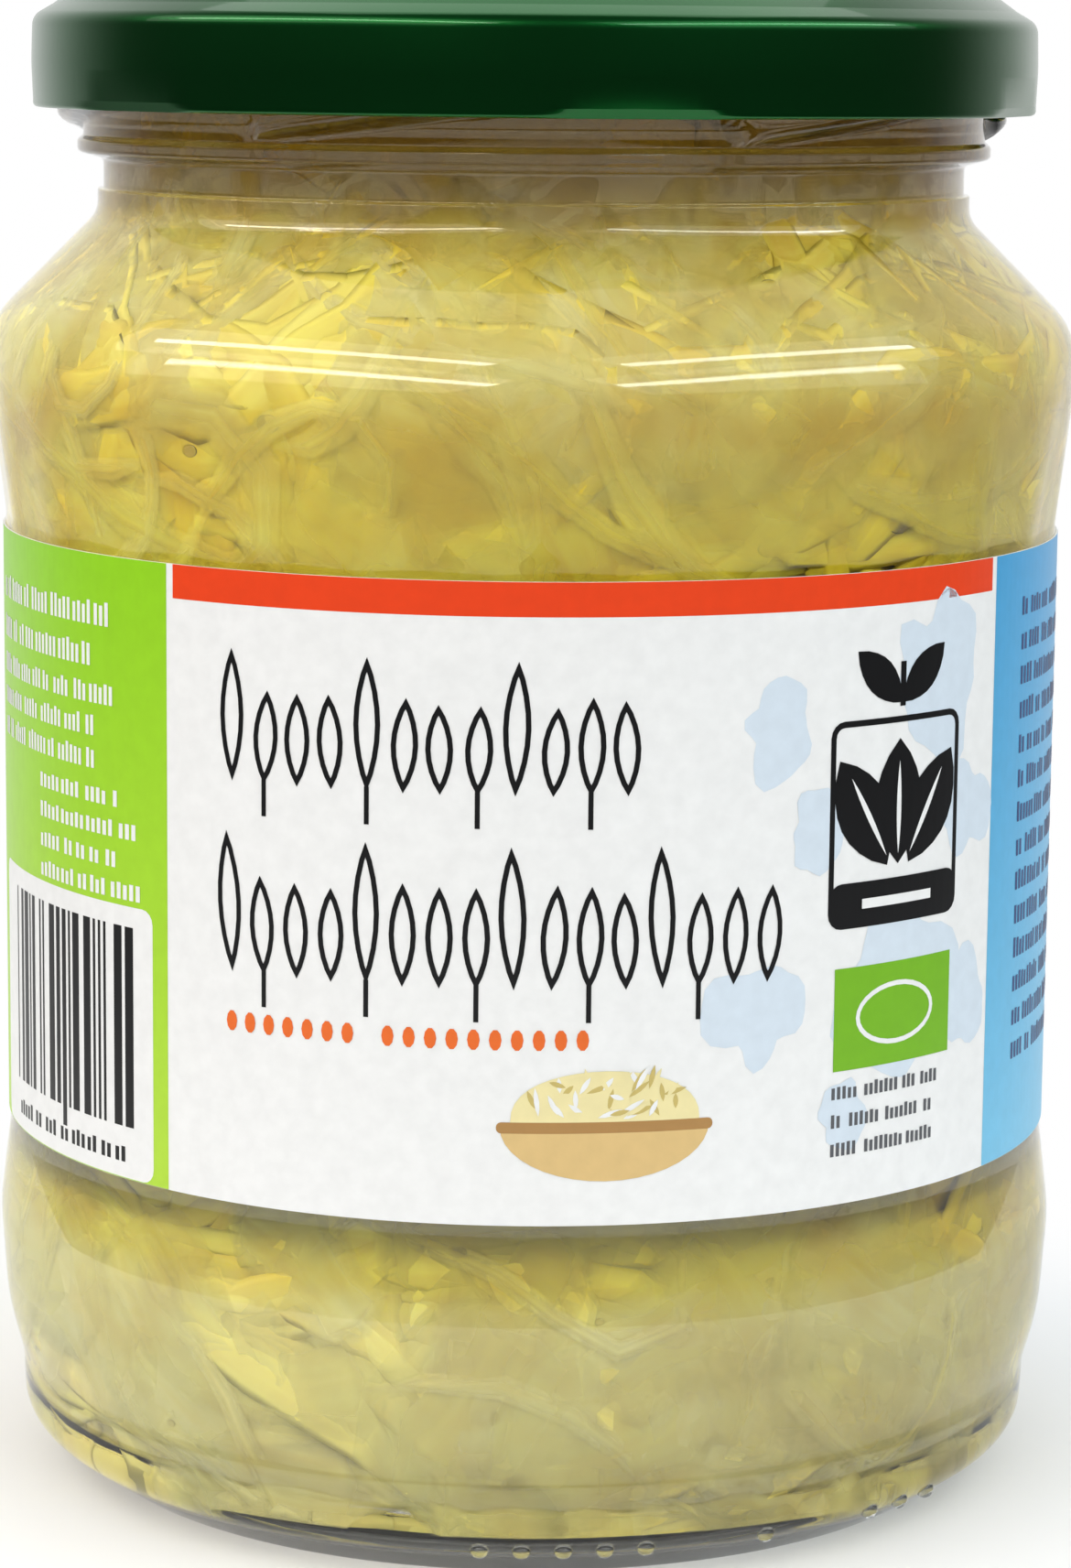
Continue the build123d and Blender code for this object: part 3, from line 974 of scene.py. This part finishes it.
# Each zone has its share of the pieces, its lowest and highest z, and its first and last angle.
ZONES = [
    (0.56, 82.0, 121.0, -180, 180),
    (0.38, 7.0, 32.0, -180, 180),
    (0.06, 30.0, 84.0, 162, 198),
]
lay_pieces(
    "shreds_deep",
    shred_master,
    760,
    seed=1,
    finish=shred_paint,
    lengths=(24, 56),
    widths=(2.2, 4.6),
    thick=(0.7, 1.1),
    depths=(0.9, 1.5),
    slopes=38,
    rolls=0.08,
    tones=(0.1, 0.9),
)
lay_pieces(
    "leaf_pieces",
    leaf_master,
    300,
    seed=2,
    finish=leaf_paint,
    lengths=(14, 38),
    widths=(8, 18),
    thick=(0.3, 0.5),
    depths=(0.35, 0.75),
    slopes=50,
    rolls=0.03,
    tones=(0.2, 1.0),
)
lay_pieces(
    "shreds_front",
    shred_master,
    150,
    seed=3,
    finish=leaf_paint,
    lengths=(20, 48),
    widths=(1.8, 4.0),
    thick=(0.25, 0.4),
    depths=(0.05, 0.3),
    slopes=50,
    rolls=0.04,
    tones=(0.3, 1.0),
)

# %% [markdown]
# ## Bubbles
# Packing traps some air, which the brine presses flat against the glass. A bubble shows mostly as a
# thin bright and dark outline. A squashed sphere that bends light does the same.

# %% Air bubbles
bm = bmesh.new()
draw = random.Random(9)
bubbles = [(28.0, 91.0, 2.3), (-27.5, 94.0, 1.0), (42.0, 86.0, 1.2)]
bubbles += [(25.5, 84.6, 1.0), (-4.0, 15.0, 1.3), (30.0, 13.0, 1.5)]
for _ in range(34):
    angle = draw.uniform(-180, 180)
    z = draw.choice((draw.uniform(84, 106), draw.uniform(9, 29)))
    bubbles.append((angle, z, draw.uniform(0.35, 0.8)))
for angle, z, size in bubbles:
    made = bmesh.ops.create_uvsphere(bm, u_segments=14, v_segments=9, radius=size)["verts"]
    bmesh.ops.scale(bm, vec=(1.0, 0.14, 0.7), verts=made)
    turn = Matrix.Rotation(math.radians(angle), 3, "Z")
    bmesh.ops.rotate(bm, verts=made, cent=(0, 0, 0), matrix=turn)
    place_r = float(wall_r(z)) - 0.3 * size - 0.05
    bmesh.ops.translate(bm, verts=made, vec=heading(angle) * place_r + Vector((0, 0, z)))
finish_piece(bm, "brine_bubbles", [brine_paint])

# %% [markdown]
# ## Floor, light and camera
# The jar stands on a plain white floor in soft studio light: a wide lamp and a narrow one high on
# each side at the front, and a lamp over the back. The surroundings are white for the eye and
# through glass, half as bright for light, and for gloss they run from dark in front to white
# behind.
# The floor's shadow fades to white a little way out from the jar.

# %% Floor
FLOOR_R, FADE_FROM, FADE_TO = 0.19, 0.046, 0.1
bm = bmesh.new()
bmesh.ops.create_circle(bm, segments=96, radius=FLOOR_R, cap_ends=True)
mesh = bpy.data.meshes.new("studio_floor")
bm.to_mesh(mesh)
bm.free()
floor = bpy.data.objects.new("studio_floor", mesh)
bpy.context.scene.collection.objects.link(floor)
floor_paint, tree, shader, out, place = new_material("floor_white")
shader.inputs["Base Color"].default_value = (0.96, 0.96, 0.96, 1)
shader.inputs["Roughness"].default_value = 0.9
shader.inputs["Specular IOR Level"].default_value = 0.1
away = tree.nodes.new("ShaderNodeVectorMath")
away.operation = "LENGTH"
tree.links.new(place, away.inputs[0])
blend = tree.nodes.new("ShaderNodeMapRange")
blend.interpolation_type = "SMOOTHSTEP"
blend.inputs["From Min"].default_value = FADE_FROM
blend.inputs["From Max"].default_value = FADE_TO
tree.links.new(away.outputs["Value"], blend.inputs["Value"])
path = tree.nodes.new("ShaderNodeLightPath")
for_eye = tree.nodes.new("ShaderNodeMath")
for_eye.operation = "MULTIPLY"
tree.links.new(blend.outputs[0], for_eye.inputs[0])
tree.links.new(path.outputs["Is Camera Ray"], for_eye.inputs[1])
white = tree.nodes.new("ShaderNodeEmission")
choose = tree.nodes.new("ShaderNodeMixShader")
tree.links.new(for_eye.outputs[0], choose.inputs[0])
tree.links.new(shader.outputs[0], choose.inputs[1])
tree.links.new(white.outputs[0], choose.inputs[2])
tree.links.new(choose.outputs[0], out.inputs["Surface"])
mesh.materials.append(floor_paint)
floor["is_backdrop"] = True

# %% Surroundings
WORLD_LIGHT, GLOSS_FRONT, GLOSS_BEHIND = 0.48, 0.05, 1.0
world = bpy.data.worlds.new("studio")
bpy.context.scene.world = world
world.use_nodes = True
tree = world.node_tree
tree.nodes.clear()
world_out = tree.nodes.new("ShaderNodeOutputWorld")
seen = tree.nodes.new("ShaderNodeBackground")
lit = tree.nodes.new("ShaderNodeBackground")
lit.inputs["Color"].default_value = (1, 1, 1, 1)
lit.inputs["Strength"].default_value = WORLD_LIGHT
seen.inputs["Color"].default_value = (1, 1, 1, 1)
way = tree.nodes.new("ShaderNodeSeparateXYZ")
tree.links.new(tree.nodes.new("ShaderNodeTexCoord").outputs["Generated"], way.inputs[0])
gloss = tree.nodes.new("ShaderNodeMapRange")
gloss.interpolation_type = "SMOOTHSTEP"
gloss.inputs["From Min"].default_value = 0.2
gloss.inputs["From Max"].default_value = 0.95
gloss.inputs["To Min"].default_value = GLOSS_FRONT
gloss.inputs["To Max"].default_value = GLOSS_BEHIND
tree.links.new(way.outputs["Y"], gloss.inputs["Value"])
path = tree.nodes.new("ShaderNodeLightPath")


def world_math(kind, first, second):
    """A number made from two sockets of the world's nodes."""
    node = tree.nodes.new("ShaderNodeMath")
    node.operation = kind
    tree.links.new(first, node.inputs[0])
    tree.links.new(second, node.inputs[1])
    return node.outputs[0]


direct = world_math("MAXIMUM", path.outputs["Is Camera Ray"], path.outputs["Is Transmission Ray"])
glossy = world_math("MULTIPLY", path.outputs["Is Glossy Ray"], gloss.outputs[0])
tree.links.new(world_math("MAXIMUM", direct, glossy), seen.inputs["Strength"])
mix = tree.nodes.new("ShaderNodeMixShader")
tree.links.new(world_math("MAXIMUM", direct, path.outputs["Is Glossy Ray"]), mix.inputs[0])
tree.links.new(lit.outputs[0], mix.inputs[1])
tree.links.new(seen.outputs[0], mix.inputs[2])
tree.links.new(mix.outputs[0], world_out.inputs["Surface"])


# %% Lamps
AIM_Z = 0.065
WARM, COOL, PLAIN = (1.0, 0.95, 0.91), (0.9, 0.97, 1.0), (1.0, 1.0, 1.0)


def softbox(name, side, lift, away, wide, high, watts, tint):
    """A rectangular lamp at an angle from the front and a height angle, turned to face the jar."""
    lamp = bpy.data.lights.new(name, "AREA")
    lamp.shape = "RECTANGLE"
    lamp.size = wide
    lamp.size_y = high
    lamp.energy = watts
    lamp.color = tint
    holder = bpy.data.objects.new(name, lamp)
    bpy.context.scene.collection.objects.link(holder)
    target = Vector((0, 0, AIM_Z))
    up = math.radians(lift)
    spot = target + (heading(side) * math.cos(up) + Vector((0, 0, math.sin(up)))) * away
    holder.location = spot
    holder.rotation_euler = (target - spot).to_track_quat("-Z", "Y").to_euler()


softbox("left_box", -58, 42, 0.62, 0.95, 0.34, 1.3, WARM)
softbox("right_box", 60, 40, 0.62, 0.80, 0.34, 0.9, COOL)
softbox("left_strip", -52, 44, 0.60, 0.80, 0.05, 1.4, WARM)
softbox("right_strip", 58, 42, 0.60, 0.70, 0.05, 1.1, COOL)
softbox("top_box", 180, 68, 0.75, 0.6, 0.5, 1.4, PLAIN)
print("lamps: 5")

# %% [markdown]
# ## Camera
# The camera stands about three jar heights away, just below the level of the lid, and looks
# slightly down. It looks a touch to the right of the jar's axis, and is turned by half a degree.

# %% Camera
CAMERA_AWAY, CAMERA_HIGH, LENS = 388.3, 123.6, 102.65
CAMERA_DOWN, CAMERA_ASIDE, CAMERA_ROLL = math.radians(9.442), math.radians(0.094), 0.0095
camera_data = bpy.data.cameras.new("camera")
camera_data.lens = LENS
camera_data.sensor_width = 36
camera_data.clip_start = 0.01
camera = bpy.data.objects.new("camera", camera_data)
bpy.context.scene.collection.objects.link(camera)
camera.location = (0, -CAMERA_AWAY * MM, CAMERA_HIGH * MM)
level = math.cos(CAMERA_DOWN)
across, ahead = math.sin(CAMERA_ASIDE) * level, math.cos(CAMERA_ASIDE) * level
look = Vector((across, ahead, -math.sin(CAMERA_DOWN)))
turn = look.to_track_quat("-Z", "Y").to_matrix() @ Matrix.Rotation(CAMERA_ROLL, 3, "Z")
camera.rotation_euler = turn.to_euler()
bpy.context.scene.camera = camera
bpy.context.scene.view_settings.view_transform = "Standard"
bpy.context.scene.cycles.transparent_max_bounces = 20
bpy.context.scene.cycles.max_bounces = 8
bpy.context.scene.cycles.diffuse_bounces = 2

# %% Sizes and the end
low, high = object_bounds()
print("visual box, mm:", [round((b - a) / MM, 2) for a, b in zip(low, high)])
